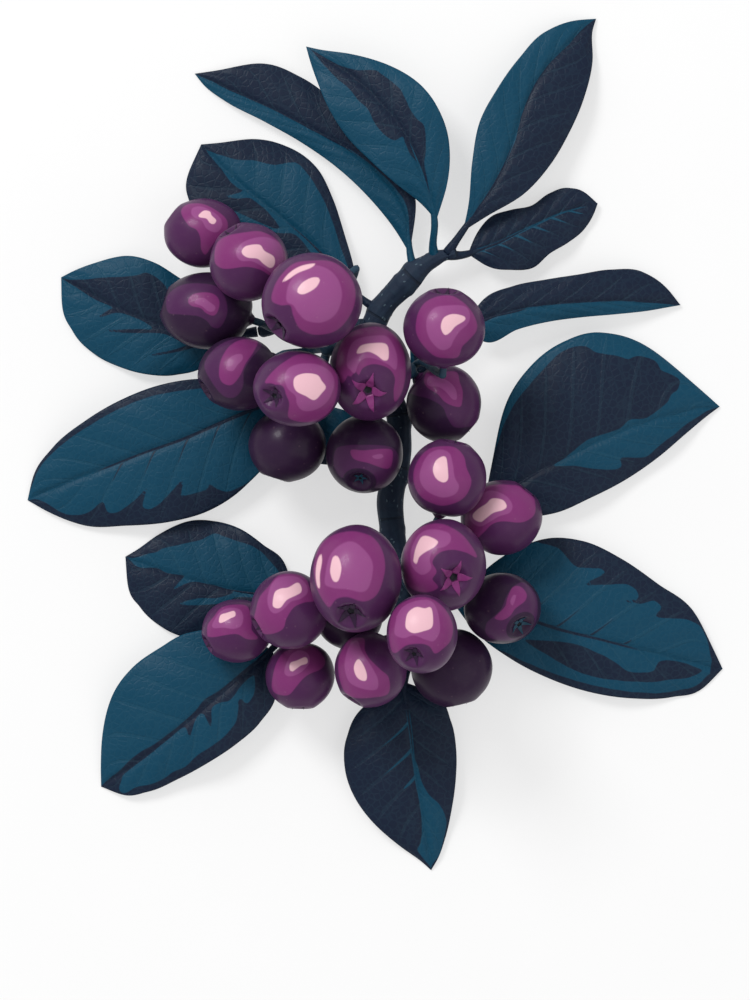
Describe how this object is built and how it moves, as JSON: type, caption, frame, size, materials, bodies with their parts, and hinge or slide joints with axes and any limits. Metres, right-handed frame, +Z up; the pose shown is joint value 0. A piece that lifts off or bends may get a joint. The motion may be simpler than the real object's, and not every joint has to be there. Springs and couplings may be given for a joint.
{
  "type": "chokeberry cluster",
  "caption": "Cut sprig of chokeberry lying flat, with two bunches of glossy purple berries on forked stalks and broad dark teal leaves along a woody twig.",
  "frame": {"origin": "middle of the underside of the whole sprig, on the surface that it lies on", "axes": "+X to the right and +Y towards the growing end of the twig, with the sprig lying on its underside; +Z up from the surface"},
  "size_m": [0.0974, 0.1194, 0.0311],
  "materials": {
    "bark": "dull dark bark with small pale pores",
    "fruit_stalk": "smooth green-blue young stalk, satin",
    "leaf": "leathery leaf, teal with dark navy patches, satin",
    "berry_skin": "glossy thin purple skin, nearly black-purple at the rim"
  },
  "bodies": {
    "root": {"twig": "bark", "upper_spur": "bark", "lower_spur": "bark", "upper_stalk": "fruit_stalk", "lower_stalk": "fruit_stalk", "leaf_top_right": "leaf", "leaf_top_middle": "leaf", "leaf_top_left": "leaf", "leaf_twig_end": "leaf", "leaf_upper_left": "leaf", "leaf_middle_left": "leaf", "leaf_lower_left": "leaf", "leaf_right_thin": "leaf", "leaf_right_broad": "leaf", "leaf_right_low": "leaf", "leaf_bottom": "leaf", "leaf_low_left": "leaf", "leaf_mid_low_left": "leaf", "leaf_under_low": "leaf", "leaf_under_upper": "leaf", "berry_01": "berry_skin", "berry_02": "berry_skin", "berry_03": "berry_skin", "berry_04": "berry_skin", "berry_05": "berry_skin", "berry_06": "berry_skin", "berry_07": "berry_skin", "berry_08": "berry_skin", "berry_09": "berry_skin", "berry_10": "berry_skin", "berry_11": "berry_skin", "berry_12": "berry_skin", "berry_13": "berry_skin", "berry_14": "berry_skin", "berry_15": "berry_skin", "berry_16": "berry_skin", "berry_17": "berry_skin", "berry_18": "berry_skin", "berry_19": "berry_skin", "berry_20": "berry_skin", "berry_21": "berry_skin", "berry_22": "berry_skin", "berry_23": "berry_skin"}
  },
  "joints": []
}
